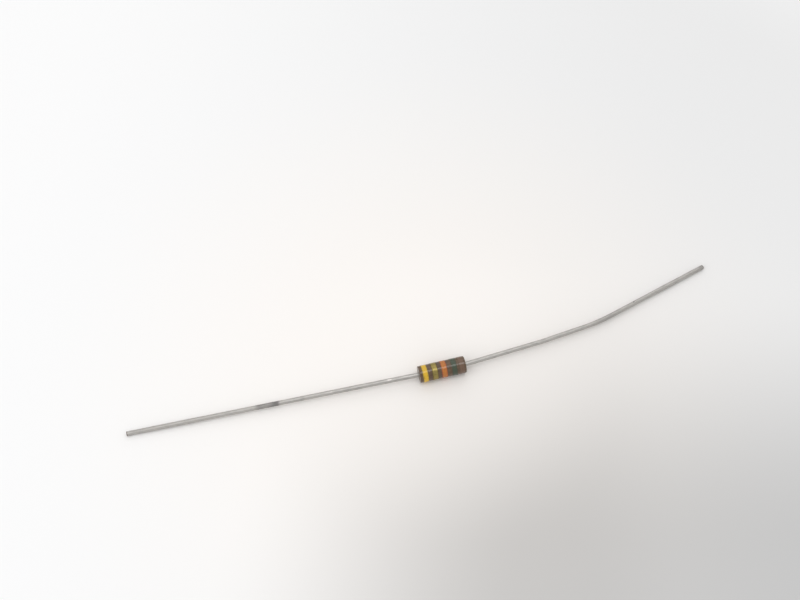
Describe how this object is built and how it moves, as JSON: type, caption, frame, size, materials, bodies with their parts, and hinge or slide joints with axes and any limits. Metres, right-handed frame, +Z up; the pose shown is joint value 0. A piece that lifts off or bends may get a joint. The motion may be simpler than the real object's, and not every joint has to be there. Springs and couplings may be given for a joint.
{
  "type": "axial resistor",
  "caption": "Carbon composition resistor with a cylindrical moulded jacket, painted colour code bands and a long tinned wire lead at each end, one of them bent.",
  "frame": {"origin": "centre of the jacket, on its axis", "axes": "+X along the jacket's axis to the bent lead, +Y the side that both leads lean to, +Z up from the surface that the resistor lies on"},
  "size_m": [0.0825, 0.0083, 0.0024],
  "materials": {
    "moulded_phenolic": "satin",
    "carbon_composition": "matte",
    "tinned_wire": "satin",
    "brown_paint": "satin",
    "green_paint": "satin",
    "orange_paint": "satin",
    "gold_paint": "satin",
    "yellow_paint": "satin"
  },
  "bodies": {
    "root": {"insulating_jacket": "moulded_phenolic", "carbon_core": "carbon_composition", "straight_lead": "tinned_wire", "bent_lead": "tinned_wire", "first_digit_band": "brown_paint", "second_digit_band": "green_paint", "multiplier_band": "orange_paint", "tolerance_band": "gold_paint", "failure_rate_band": "yellow_paint"}
  },
  "joints": []
}
